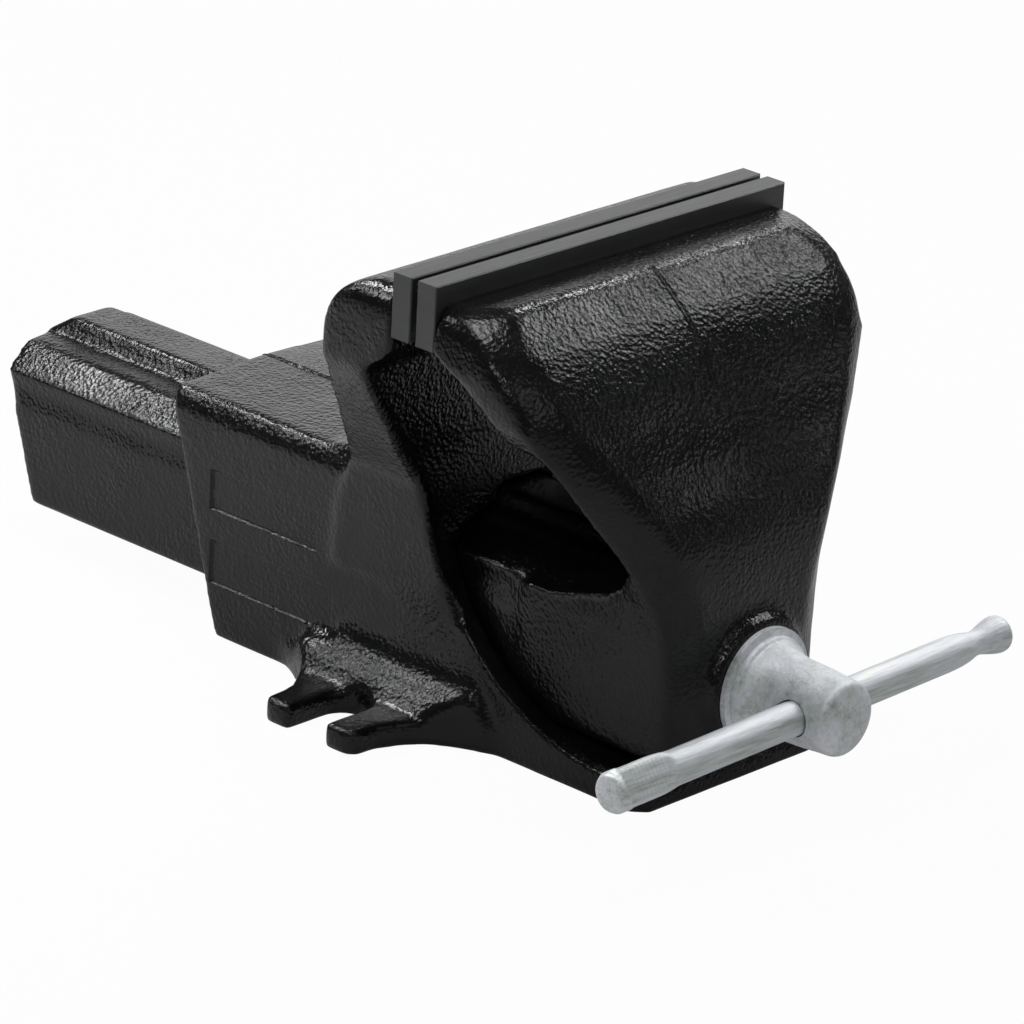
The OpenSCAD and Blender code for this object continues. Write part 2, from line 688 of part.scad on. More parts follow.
fixed_body();
movable_jaw();
fixed_jaw_plate();
movable_jaw_plate();
fixed_plate_screws();
movable_plate_screws();
spindle();
handle_bar();
spindle_nut();
nut_bolts();
nut_washers();
nut_dowels();
front_thrust_washer();
rear_thrust_washer();
back_off_spring();
spring_seat_washer();
split_pin();
stop_collar();
stop_pin();
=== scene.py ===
"""Looks of the bench vise: black hammered castings, ground jaw plates, zinc plated screw and handle."""

import math

import bmesh
import bpy
import numpy as np
from mathutils import Matrix, Vector, noise


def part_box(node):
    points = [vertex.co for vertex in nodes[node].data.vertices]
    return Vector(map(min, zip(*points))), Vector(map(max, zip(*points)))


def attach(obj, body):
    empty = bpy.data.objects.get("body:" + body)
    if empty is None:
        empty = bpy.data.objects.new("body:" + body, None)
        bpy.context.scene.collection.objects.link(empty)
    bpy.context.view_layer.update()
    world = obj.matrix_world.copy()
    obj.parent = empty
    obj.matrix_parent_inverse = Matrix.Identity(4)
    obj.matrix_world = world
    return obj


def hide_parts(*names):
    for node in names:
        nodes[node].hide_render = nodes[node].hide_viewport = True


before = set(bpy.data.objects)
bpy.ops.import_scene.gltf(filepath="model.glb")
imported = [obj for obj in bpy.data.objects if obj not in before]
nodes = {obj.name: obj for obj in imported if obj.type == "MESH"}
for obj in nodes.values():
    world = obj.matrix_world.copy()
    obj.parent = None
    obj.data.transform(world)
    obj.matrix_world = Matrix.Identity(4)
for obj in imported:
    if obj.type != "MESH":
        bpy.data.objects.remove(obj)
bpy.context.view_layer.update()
MM = 0.001

# Casting skins
CAST_VOXEL = 1.5 * MM
FACET_ROUNDS = 60        # rounds of smoothing that take the facets out of curved faces
FACET_IN = 0.60          # how far a point goes to its neighbours' middle in each of them,
FACET_OUT = 0.61         # and how far it comes back, so that the skin doesn't shrink
EDGE_ROUNDS = 10         # rounds of smoothing that round the edges
SEAT_HOLD = 0.9          # how much of the rounding the jaw plates' seats are spared
SPOT_ROUNDS = 45         # more rounds where small steps of the solids blend into a wall
SOFT_SPOTS = {           # half width, y, z and the reach along X, Y and Z of each such place, in mm
    "fixed_body": ((55, -24, 55, 6, 36, 9),),
    "movable_jaw": ((95, -101, 175, 16, 16, 16), (42, -59, 67, 7, 8, 12)),
}

# Sunk panels in the side walls
PANEL_DEPTH = 1.2 * MM
PANEL_EDGE = 0.6 * MM
FLANK_X = 54 * MM        # half width of the body over its side walls
FLANK_SKIN = 0.8 * MM    # a point this near to it counts as part of the wall
PANELS = (               # y0, y1, z0, z1 of the two panels in each wall
    (43 * MM, 104 * MM, 55 * MM, 72 * MM),
    (33 * MM, 103 * MM, 23 * MM, 41.5 * MM),
)

# The mould's joint line: where it shows
ROOF_JOINT_Y = 12 * MM           # it starts behind the fixed jaw's head
ROOF_OVER_NUT = 25 * MM          # the roof lies higher than this over the nut
ROOF_JOINT_TOP = 112 * MM
JAW_JOINT_TOP = 198.5 * MM
JAW_JOINT_FADE = (150 * MM, 180 * MM)

# Jaw plates
PLATE_GRID = 0.5 * MM
PLATE_BEVEL = 0.45 * MM
PLATE_BORDER = 2.5 * MM          # the plain rim round the diamond cut
DIAMOND_STEPS = 5                # grid steps from groove to groove
DIAMOND_GROOVE = 0.55 * MM
DIAMOND_CREST = 0.12 * MM
PLATE_SCREW_X = 60 * MM
PLATE_SCREW_UP = 10 * MM
SINK_R = 8.4 * MM
SINK_DEPTH = 4.4 * MM
SINK_LAND = 0.5 * MM

# Turned parts
JOURNAL_R = 12.5 * MM
SCREW_R = 12 * MM
THREAD_PITCH = 5 * MM
THREAD_DEPTH = 2.5 * MM
THREAD_SIDES = 48
THREAD_STEPS = 12                # rings to each turn
HANDLE_R = 7 * MM
HANDLE_TILT = math.radians(1.2)
HANDLE_LEFT = 118.5 * MM
HANDLE_RIGHT = 110.5 * MM
HANDLE_SIDES = 112
RIB_PITCH = 2.2                  # mm, as everything in the bar's own profile
CROSS_OUT = 26.2 * MM            # from the flange's back face to the cross hole
WASHER_PLAY = 0.05 * MM
SPRING_WIRE_R = 1.3 * MM
SPRING_TURNS = 4.5

# Floor and air
FLOOR_TONE = 0.5
FLOOR_WHITE = (                  # how much plain white each kind of ray sees in the floor
    ("Is Camera Ray", 0.97),
    ("Is Glossy Ray", 0.12),
    ("Is Transmission Ray", 0.95),
)
AIR_COLOUR = (0.85, 0.86, 0.88, 1)
AIR_STRENGTH = 0.1

# Camera, fitted to the photograph
EYE = (-1.81411, -1.67565, 1.04522)
EYE_AZIMUTH = math.radians(-47.5)
EYE_HEIGHT = math.radians(21.5)
EYE_ROLL = math.radians(3.08)
LENS = 232.03


# ---------- meshes ----------

def new_object(name, mesh):
    piece = bpy.data.objects.new(name, mesh)
    bpy.context.scene.collection.objects.link(piece)
    return piece


def mesh_piece(name, points, faces):
    mesh = bpy.data.meshes.new(name)
    mesh.from_pydata([tuple(p) for p in points], [], [tuple(f) for f in faces])
    mesh.validate()
    mesh.update()
    return new_object(name, mesh)


def dress(piece, body, material, replaced=(), sharp_angle=None):
    """Gives a new piece its material and body, hides the CAD parts it replaces, and shades it smooth up
    to sharp_angle.
    """
    piece.data.materials.clear()
    piece.data.materials.append(material)
    piece.data.polygons.foreach_set("use_smooth", [True] * len(piece.data.polygons))
    if sharp_angle is not None:
        piece.data.set_sharp_from_angle(angle=math.radians(sharp_angle))
    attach(piece, body)
    if replaced:
        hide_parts(*replaced)
    return piece


def apply_modifiers(piece):
    """Turns the piece's modifiers into its mesh."""
    bpy.context.view_layer.update()
    graph = bpy.context.evaluated_depsgraph_get()
    mesh = bpy.data.meshes.new_from_object(piece.evaluated_get(graph))
    piece.modifiers.clear()
    old = piece.data
    piece.data = mesh
    bpy.data.meshes.remove(old)
    return piece


def weld(mesh, distance=0.002 * MM):
    work = bmesh.new()
    work.from_mesh(mesh)
    bmesh.ops.remove_doubles(work, verts=work.verts, dist=distance)
    work.to_mesh(mesh)
    work.free()


def cut_with(piece, cutter):
    """Takes the cutter out of the piece, then deletes the cutter."""
    cut = piece.modifiers.new("cut", "BOOLEAN")
    cut.operation = "DIFFERENCE"
    cut.solver = "EXACT"
    cut.object = cutter
    apply_modifiers(piece)
    bpy.data.objects.remove(cutter)
    return piece


def rings_mesh(name, rings, closed_ends=True):
    """A skin over rings of equally many points, with flat caps on both ends."""
    sides = len(rings[0])
    points = [p for ring in rings for p in ring]
    faces = []
    for r in range(len(rings) - 1):
        for k in range(sides):
            a, b = r * sides + k, r * sides + (k + 1) % sides
            faces.append((a, b, b + sides, a + sides))
    if closed_ends:
        faces.append(tuple(range(sides - 1, -1, -1)))
        faces.append(tuple((len(rings) - 1) * sides + k for k in range(sides)))
    return mesh_piece(name, points, faces)


def lathe(name, profile, axis_x, axis_z, sides=96, closed_ends=True):
    """Turns (y, radius) pairs round the line through (axis_x, axis_z) along Y."""
    rings = []
    for y, r in profile:
        rings.append([(axis_x + r * math.sin(2 * math.pi * k / sides), y,
                       axis_z + r * math.cos(2 * math.pi * k / sides)) for k in range(sides)])
    return rings_mesh(name, rings, closed_ends)


def smooth_line(points, steps=6):
    """A Catmull-Rom line through the points, steps spans to each."""
    pts = [Vector(p) for p in points]
    out = []
    for i in range(len(pts) - 1):
        before, after = pts[max(i - 1, 0)], pts[min(i + 2, len(pts) - 1)]
        for s in range(steps):
            t = s / steps
            out.append(0.5 * ((2 * pts[i]) + (pts[i + 1] - before) * t
                              + (2 * before - 5 * pts[i] + 4 * pts[i + 1] - after) * t * t
                              + (3 * pts[i] - before - 3 * pts[i + 1] + after) * t ** 3))
    out.append(pts[-1])
    return out


def step_up(value, low, high):
    """0 below low, 1 above high, smooth between."""
    t = np.clip((value - low) / (high - low), 0, 1)
    return t * t * (3 - 2 * t)


# ---------- materials ----------

class Shader:
    """A material with short calls for its nodes."""

    def __init__(self, name):
        self.material = bpy.data.materials.new(name)
        self.material.use_nodes = True
        self.nodes = self.material.node_tree.nodes
        self.links = self.material.node_tree.links
        self.surface = self.nodes["Principled BSDF"]
        self.place = self.nodes.new("ShaderNodeTexCoord").outputs["Object"]

    def link(self, output, socket):
        self.links.new(output, socket)

    def stretched(self, scale):
        mapping = self.nodes.new("ShaderNodeMapping")
        mapping.inputs["Scale"].default_value = scale
        self.link(self.place, mapping.inputs["Vector"])
        return mapping.outputs["Vector"]

    def noise(self, scale, detail=2, rough=0.5, at=None):
        node = self.nodes.new("ShaderNodeTexNoise")
        node.inputs["Scale"].default_value = scale
        node.inputs["Detail"].default_value = detail
        node.inputs["Roughness"].default_value = rough
        self.link(at or self.place, node.inputs["Vector"])
        return node.outputs["Fac"]

    def cells(self, scale, smoothness=0.6):
        node = self.nodes.new("ShaderNodeTexVoronoi")
        node.feature = "SMOOTH_F1"
        node.inputs["Scale"].default_value = scale
        node.inputs["Smoothness"].default_value = smoothness
        self.link(self.place, node.inputs["Vector"])
        return node.outputs["Distance"]

    def math(self, operation, a, b):
        node = self.nodes.new("ShaderNodeMath")
        node.operation = operation
        for socket, value in zip(node.inputs, (a, b)):
            if isinstance(value, (int, float)):
                socket.default_value = value
            else:
                self.link(value, socket)
        return node.outputs[0]

    def span(self, value, low, high, start=0.0, end=1.0):
        """Maps start..end of a value to low..high."""
        node = self.nodes.new("ShaderNodeMapRange")
        node.inputs["From Min"].default_value = start
        node.inputs["From Max"].default_value = end
        node.inputs["To Min"].default_value = low
        node.inputs["To Max"].default_value = high
        self.link(value, node.inputs["Value"])
        return node.outputs["Result"]

    def colours(self, value, *stops):
        """A ramp through (place, colour) stops."""
        ramp = self.nodes.new("ShaderNodeValToRGB")
        ramp.color_ramp.elements[0].position = stops[0][0]
        ramp.color_ramp.elements[0].color = (*stops[0][1], 1)
        ramp.color_ramp.elements[1].position = stops[-1][0]
        ramp.color_ramp.elements[1].color = (*stops[-1][1], 1)
        for place, colour in stops[1:-1]:
            ramp.color_ramp.elements.new(place).color = (*colour, 1)
        self.link(value, ramp.inputs["Fac"])
        return ramp.outputs["Color"]

    def bump(self, height, distance, strength=1.0, under=None):
        node = self.nodes.new("ShaderNodeBump")
        node.inputs["Distance"].default_value = distance
        node.inputs["Strength"].default_value = strength
        self.link(height, node.inputs["Height"])
        if under:
            self.link(under, node.inputs["Normal"])
        return node.outputs["Normal"]

    def set(self, socket, value):
        target = self.surface.inputs[socket]
        if isinstance(value, (int, float)):
            target.default_value = value
        elif isinstance(value, tuple):
            target.default_value = (*value, 1)
        else:
            self.link(value, target)


def hammered_paint():
    """Thick black enamel over sand-cast iron: fine hammered cells over a coarse wobble."""
    s = Shader("hammered_black_paint")
    cells = s.cells(520)
    fine = s.noise(900, 2, 0.55)
    grain = s.math("ADD", s.math("MULTIPLY", cells, 1.0), s.math("MULTIPLY", fine, 0.8))
    patches = s.span(s.noise(22, 2), 0.45, 1.0, 0.35, 0.65)
    wobble = s.bump(s.noise(150, 3), 0.3 * MM, 0.6)
    s.set("Normal", s.bump(s.math("MULTIPLY", grain, patches), 0.42 * MM, 0.85, wobble))
    s.set("Base Color", s.colours(s.noise(60, 4), (0.3, (0.003, 0.003, 0.0033)),
                                  (0.7, (0.006, 0.006, 0.0065))))
    s.set("Roughness", s.span(s.noise(140, 3), 0.14, 0.24, 0.3, 0.7))
    s.set("IOR", 1.5)
    s.set("Specular IOR Level", 0.32)
    return s.material


def ground_steel():
    """Dark hardened plate, ground along its length."""
    s = Shader("ground_plate_steel")
    marks = s.noise(60, 3, 0.6, s.stretched((0.5, 40, 40)))
    s.set("Normal", s.bump(marks, 0.05 * MM, 0.5))
    s.set("Base Color", s.colours(s.noise(45, 4), (0.3, (0.022, 0.023, 0.024)),
                                  (0.7, (0.034, 0.035, 0.037))))
    s.set("Metallic", 0.25)
    s.set("Specular IOR Level", 0.95)
    s.set("Roughness", s.span(marks, 0.34, 0.48, 0.3, 0.7))
    return s.material


def zinc(name, scale, along=(1, 1, 1)):
    """Mottled zinc plating: grey-green and faint lavender blooms over a rough forged skin."""
    s = Shader(name)
    bloom = s.noise(scale, 4, 0.6, s.stretched(along))
    pits = s.noise(scale * 7, 3, 0.65, s.stretched(along))
    tone = s.math("ADD", s.math("MULTIPLY", bloom, 0.6), s.math("MULTIPLY", pits, 0.4))
    s.set("Base Color", s.colours(tone, (0.34, (0.44, 0.49, 0.48)), (0.46, (0.72, 0.76, 0.75)),
                                  (0.54, (0.83, 0.85, 0.90)), (0.64, (0.95, 0.96, 0.95))))
    s.set("Metallic", 0.85)
    s.set("Roughness", s.span(tone, 0.36, 0.64, 0.26, 0.5))
    s.set("Normal", s.bump(pits, 0.26 * MM, 0.85, s.bump(bloom, 0.6 * MM, 0.5)))
    return s.material


def machined(name, dark, light, rough=(0.3, 0.5)):
    """Plain metal with fine turning marks and stains."""
    s = Shader(name)
    stain = s.noise(70, 4, 0.6)
    s.set("Base Color", s.colours(stain, (0.3, dark), (0.7, light)))
    s.set("Metallic", 1.0)
    s.set("Roughness", s.span(s.noise(240, 3), rough[0], rough[1], 0.3, 0.7))
    s.set("Normal", s.bump(s.noise(900, 2, 0.6), 0.04 * MM, 0.6))
    return s.material


PAINT = hammered_paint()
PLATE = ground_steel()
ZINC_CAST = zinc("zinc_forged", 75)
ZINC_BAR = zinc("zinc_drawn", 60, (0.14, 2, 2))
BLACK_STEEL = machined("black_screw_steel", (0.03, 0.03, 0.032), (0.07, 0.07, 0.075), (0.35, 0.5))
PLAIN_STEEL = machined("plain_steel", (0.30, 0.31, 0.32), (0.45, 0.46, 0.47))
SPRING_STEEL = machined("spring_steel", (0.18, 0.19, 0.20), (0.30, 0.31, 0.33), (0.25, 0.4))
NUT_IRON = machined("nut_iron", (0.12, 0.12, 0.12), (0.24, 0.24, 0.235), (0.45, 0.65))


# ---------- castings ----------

def neighbour_mean(values, edges, count):
    total = np.empty_like(values)
    for k in range(values.shape[1]):
        column = values[:, k]
        total[:, k] = (np.bincount(edges[:, 0], column[edges[:, 1]], len(values))
                       + np.bincount(edges[:, 1], column[edges[:, 0]], len(values)))
    return total / count[:, None]


def read_mesh(mesh):
    points = np.empty(len(mesh.vertices) * 3)
    mesh.vertices.foreach_get("co", points)
    normals = np.empty(len(mesh.vertices) * 3)
    mesh.vertices.foreach_get("normal", normals)
    edges = np.empty(len(mesh.edges) * 2, np.int64)
    mesh.edges.foreach_get("vertices", edges)
    edges = edges.reshape(-1, 2)
    count = np.maximum(np.bincount(edges.ravel(), minlength=len(mesh.vertices)), 1)
    return points.reshape(-1, 3), normals.reshape(-1, 3), edges, count


def write_points(mesh, points):
    mesh.vertices.foreach_set("co", points.ravel())
    mesh.update()


def plain_ground(normals, edges, count):
    """1 on plain faces and soft curves, 0 near sharp edges."""
    mean = normals
    for _ in range(3):
        mean = 0.5 * mean + 0.5 * neighbour_mean(mean, edges, count)
    plain = 1 - step_up(1 - np.linalg.norm(mean, axis=1), 0.012, 0.035)
    for _ in range(4):
        low = plain.copy()
        np.minimum.at(low, edges[:, 0], plain[edges[:, 1]])
        np.minimum.at(low, edges[:, 1], plain[edges[:, 0]])
        plain = low
    for _ in range(3):
        plain = 0.5 * plain + 0.5 * neighbour_mean(plain[:, None], edges, count)[:, 0]
    return plain[:, None]


def smooth_skin(mesh, spots):
    """Takes the facets out of curved faces, then rounds every edge like a casting's."""
    points, normals, edges, count = read_mesh(mesh)
    plain = plain_ground(normals, edges, count)
    for _ in range(FACET_ROUNDS):
        points = points + FACET_IN * plain * (neighbour_mean(points, edges, count) - points)
        points = points - FACET_OUT * plain * (neighbour_mean(points, edges, count) - points)
    share = 1 - SEAT_HOLD * near_seats(points)[:, None]
    for _ in range(EDGE_ROUNDS):
        points = points + 0.5 * share * (neighbour_mean(points, edges, count) - points)
    share = soft_spots(points, spots)[:, None]
    for _ in range(SPOT_ROUNDS):
        points = points + 0.5 * share * (neighbour_mean(points, edges, count) - points)
    write_points(mesh, points)


def soft_spots(points, places):
    """1 inside the ellipsoids of SOFT_SPOTS on both sides of x = 0, 0 outside them."""
    out = np.zeros(len(points))
    for place in places:
        x, y, z, *reach = (value * MM for value in place)
        apart = np.stack((np.abs(points[:, 0]) - x, points[:, 1] - y, points[:, 2] - z), axis=1)
        apart = np.linalg.norm(apart / np.array(reach), axis=1)
        out = np.maximum(out, 1 - step_up(apart, 0.7, 1.0))
    return out


def near_seats(points):
    """1 along the milled seats of the jaw plates, whose edges stay crisp."""
    out = np.zeros(len(points))
    for node in ("fixed_jaw_plate", "movable_jaw_plate"):
        low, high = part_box(node)
        seat = high.y if node == "fixed_jaw_plate" else low.y
        near = 1 - step_up(np.abs(points[:, 1] - seat), 2 * MM, 4 * MM)
        out = np.maximum(out, near * step_up(points[:, 2], low.z - 4 * MM, low.z - 2 * MM))
    return out


def cast_wobble(mesh, depth=0.13 * MM, across=85.0):
    """Presses the skin in by the slow unevenness of a sand casting."""
    points, normals, _, _ = read_mesh(mesh)
    sink = np.array([0.5 + 0.5 * noise.noise(Vector(p) * across) for p in points])
    write_points(mesh, points - normals * (depth * sink)[:, None])


def casting_skin(node, name):
    """A casting's CAD solid remeshed into one even skin."""
    mesh = nodes[node].data.copy()
    mesh.name = name
    weld(mesh)
    skin = new_object(name, mesh)
    if node == "fixed_body":
        fill_panels(mesh)
    remesh = skin.modifiers.new("remesh", "REMESH")
    remesh.mode = "VOXEL"
    remesh.voxel_size = CAST_VOXEL
    apply_modifiers(skin)
    smooth_skin(skin.data, SOFT_SPOTS[node])
    return skin


def panel_reach(y, z, panel):
    """How far inside a panel's outline a point lies; negative outside."""
    y0, y1, z0, z1 = panel
    return np.minimum(np.minimum(y - y0, y1 - y), np.minimum(z - z0, z1 - z))


def fill_panels(mesh):
    """Closes the sunk panels, so that they are pressed in again after the remesh."""
    floor_x = FLANK_X - PANEL_DEPTH
    for vertex in mesh.vertices:
        x, y, z = vertex.co
        inside = any(panel_reach(y, z, p) > -0.1 * MM for p in PANELS)
        if inside and abs(abs(x) - floor_x) < 0.1 * MM:
            vertex.co.x = math.copysign(FLANK_X, x)


def split_faces(work, chosen):
    """Halves the edges whose middle is chosen."""
    edges = [e for e in work.edges if chosen((e.verts[0].co + e.verts[1].co) / 2)]
    bmesh.ops.subdivide_edges(work, edges=edges, cuts=1, use_grid_fill=True)


def press_panels(mesh):
    """Splits the faces round the panels and sinks the panels into the side walls."""
    def reach(at):
        return max(float(panel_reach(at.y, at.z, p)) for p in PANELS)

    def near(width):
        return lambda at: abs(abs(at.x) - FLANK_X) < FLANK_SKIN and abs(reach(at)) < width

    work = bmesh.new()
    work.from_mesh(mesh)
    split_faces(work, near(3 * MM))
    split_faces(work, near(1.3 * MM))
    for vertex in work.verts:
        if abs(abs(vertex.co.x) - FLANK_X) < FLANK_SKIN:
            inside = float(step_up(reach(vertex.co), -0.5 * PANEL_EDGE, 0.5 * PANEL_EDGE))
            vertex.co.x -= math.copysign(PANEL_DEPTH * inside, vertex.co.x)
    work.to_mesh(mesh)
    work.free()


def parting_line(mesh, chosen, height=0.7 * MM, half=1.4 * MM):
    """Sets one half of the mould's joint along x = 0 a little lower than the other."""
    work = bmesh.new()
    work.from_mesh(mesh)
    for reach in (4 * MM, 2.2 * MM):
        split_faces(work, lambda at: abs(at.x) < reach and chosen(at) > 0)
    work.normal_update()
    for vertex in work.verts:
        share = chosen(vertex.co)
        if abs(vertex.co.x) < half and share > 0:
            across = vertex.co.x / half
            lift = -height * math.sin(math.pi * across) * (1 - across ** 2)
            wander = 0.7 + 0.6 * noise.noise(vertex.co * 60)
            vertex.co += vertex.normal * lift * wander * share
    work.to_mesh(mesh)
    work.free()


def fixed_casting():
    skin = casting_skin("fixed_body", "fixed_casting")
    press_panels(skin.data)
    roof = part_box("spindle_nut")[1].z + ROOF_OVER_NUT
    parting_line(skin.data, lambda at: float(at.y > ROOF_JOINT_Y and roof < at.z < ROOF_JOINT_TOP))
    cast_wobble(skin.data)
    dress(skin, "base", PAINT, ["fixed_body"])


def jaw_casting():
    skin = casting_skin("movable_jaw", "sliding_casting")
    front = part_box("movable_jaw_plate")[0].y - 0.5 * MM
    parting_line(skin.data, lambda at: float(at.y < front and at.z < JAW_JOINT_TOP)
                 * float(step_up(at.z, *JAW_JOINT_FADE)))
    cast_wobble(skin.data)
    dress(skin, "sliding_jaw", PAINT, ["movable_jaw"])


# ---------- jaw plates ----------

def grip_depth(gx, gz, low, high):
    """How deep the gripping face lies under the plate's outer plane, at each point of its grid."""
    step_z, step_x = np.indices(gx.shape)
    first = np.minimum((step_x + step_z) % DIAMOND_STEPS, (-step_x - step_z) % DIAMOND_STEPS)
    second = np.minimum((step_x - step_z) % DIAMOND_STEPS, (step_z - step_x) % DIAMOND_STEPS)
    cut = np.where(np.minimum(first, second) == 0, DIAMOND_GROOVE, DIAMOND_CREST)
    edge = np.minimum(np.minimum(gx - low.x, high.x - gx), np.minimum(gz - low.z, high.z - gz))
    depth = np.where(edge > PLATE_BORDER, cut, 0)
    for screw_x in (-PLATE_SCREW_X, PLATE_SCREW_X):
        r = np.hypot(gx - screw_x, gz - low.z - PLATE_SCREW_UP)
        sink = np.clip(SINK_R - r, 0, SINK_DEPTH) + SINK_LAND
        depth = np.where(r < SINK_R + 0.2 * MM, sink, depth)
    return np.where(edge < 0.1 * MM, PLATE_BEVEL, depth)


def jaw_plate(node, name, body, grip):
    """A bevelled plate with a diamond-cut gripping face; grip is the side of Y that it looks to."""
    low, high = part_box(node)
    columns = round((high.x - low.x) / PLATE_GRID)
    rows = round((high.z - low.z) / PLATE_GRID)
    wide = columns + 1
    gx, gz = np.meshgrid(low.x + np.arange(columns + 1) * PLATE_GRID,
                         low.z + np.arange(rows + 1) * PLATE_GRID)
    face_y, back_y = (high.y, low.y) if grip > 0 else (low.y, high.y)
    gy = face_y - grip * grip_depth(gx, gz, low, high)
    points = list(zip(gx.ravel(), gy.ravel(), gz.ravel()))
    faces = []
    for r in range(rows):
        for c in range(columns):
            a = r * wide + c
            faces.append((a, a + 1, a + wide + 1, a + wide))

    rim = ([c for c in range(columns)] + [r * wide + columns for r in range(rows)]
           + [rows * wide + c for c in range(columns, 0, -1)]
           + [r * wide for r in range(rows, 0, -1)])
    start, around = len(points), len(rim)
    near = 0.1 * MM
    outer, inner = [], []
    for i in rim:
        px, _, pz = points[i]
        inset = PLATE_BEVEL * (float(px <= low.x + near) - float(px >= high.x - near))
        lift = PLATE_BEVEL * (float(pz <= low.z + near) - float(pz >= high.z - near))
        outer.append((px, back_y + grip * PLATE_BEVEL, pz))
        inner.append((px + inset, back_y, pz + lift))
    points += outer + inner
    for k in range(around):
        after = (k + 1) % around
        faces.append((rim[after], rim[k], start + k, start + after))
        faces.append((start + after, start + k, start + around + k, start + around + after))
    faces.append(tuple(start + around + k for k in range(around)))
    piece = mesh_piece(name, points, faces)
    work = bmesh.new()
    work.from_mesh(piece.data)
    bmesh.ops.recalc_face_normals(work, faces=work.faces)
    work.to_mesh(piece.data)
    work.free()
    dress(piece, body, PLATE, [node], 25)


# ---------- screw and handle ----------

def screw_axis():
    low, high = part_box("front_thrust_washer")
    return (low.x + high.x) / 2, low.y, (low.z + high.z) / 2


def screw_head():
    """Forged head, neck, flange and journal of the screw, with its cross hole."""
    axis_x, flange_y, axis_z = screw_axis()
    end_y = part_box("spindle")[0].y
    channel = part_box("rear_thrust_washer")[0].y
    # the outside in mm from the cross hole and from the axis: end face, head, neck and flange
    out = [(-16.1, 12.2), (-15.85, 13.2), (-15.3, 14.2), (-14.4, 15.0), (-13.1, 15.45), (-11.2, 15.6),
           (-8, 15.75), (-3, 16.15), (2, 16.45), (8, 16.65), (12.2, 16.85), (15.2, 17.25),
           (17.6, 17.8), (19.6, 18.6), (21.2, 19.5), (22.2, 20.1), (22.8, 20.3), (23.3, 20.75),
           (23.8, 21.25), (24.4, 21.5), (25.6, 21.5), (26.05, 21.3), (26.2, 20.8)]
    middle = flange_y - CROSS_OUT
    profile = [(end_y, 0.4 * MM), (end_y, 6 * MM), (end_y, 11.2 * MM)]
    profile += [(middle + p[0] * MM, p[1] * MM) for p in smooth_line([(a, b, 0) for a, b in out], 4)]
    profile += [(flange_y, JOURNAL_R), (channel, JOURNAL_R), (channel + 0.3 * MM, SCREW_R),
                (channel + 40 * MM, SCREW_R), (channel + 40 * MM, 0.4 * MM)]
    head = lathe("screw_head", profile, axis_x, axis_z, 128)
    # the hole in mm along the bar and from its axis, with a rounded mouth on both sides
    mouth = [(-30, 10.5), (-18.2, 10.5), (-16.3, 8.2), (-15.2, 7.65), (-13, 7.45),
             (13, 7.45), (15.2, 7.65), (16.3, 8.2), (18.2, 10.5), (30, 10.5)]
    cutter = lathe("cross_hole", [(a * MM, b * MM) for a, b in mouth], 0, 0, 64)
    turn = Matrix.Rotation(-HANDLE_TILT, 4, "Y") @ Matrix.Rotation(math.radians(-90), 4, "Z")
    cutter.data.transform(Matrix.Translation((axis_x, middle, axis_z)) @ turn)
    cut_with(head, cutter)
    dress(head, "screw", ZINC_CAST, ["spindle"], 40)


def screw_thread():
    """Helical trapezoid thread, from behind the back-off spring to the screw's rear end."""
    axis_x, _, axis_z = screw_axis()
    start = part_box("split_pin")[1].y + 3 * MM
    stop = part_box("stop_collar")[0].y - 1.5 * MM
    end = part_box("spindle")[1].y
    step = THREAD_PITCH / THREAD_STEPS
    count = int((stop - start) / step)
    rings = []
    core_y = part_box("rear_thrust_washer")[0].y + 38 * MM
    places = [(core_y, 1.0), (start - step, 1.0)]
    places += [(start + i * step, None) for i in range(count + 1)]
    places += [(start + (count + 1) * step, 1.0), (end - 1.5 * MM, 1.0), (end, 0.875)]
    for y, share in places:
        ring = []
        for k in range(THREAD_SIDES):
            turn = k / THREAD_SIDES
            r = SCREW_R * (share or 1.0)
            if share is None:
                phase = ((y - start) / THREAD_PITCH - turn) % 1.0
                ramp = min(1.0, (y - start) / THREAD_PITCH, (stop - y) / THREAD_PITCH)
                r -= THREAD_DEPTH * max(ramp, 0.0) * trapezoid(phase)
            ring.append((axis_x + r * math.sin(2 * math.pi * turn), y,
                         axis_z + r * math.cos(2 * math.pi * turn)))
        rings.append(ring)
    dress(rings_mesh("screw_thread", rings), "screw", PLAIN_STEEL, (), 50)


def trapezoid(phase):
    """Depth of a trapezoid thread's groove, 0 on the crest and 1 in the root."""
    crest, flank = 0.366, 0.134
    if phase < crest:
        return 0.0
    if phase < crest + flank:
        return (phase - crest) / flank
    if phase < 2 * crest + flank:
        return 1.0
    return (1.0 - phase) / flank


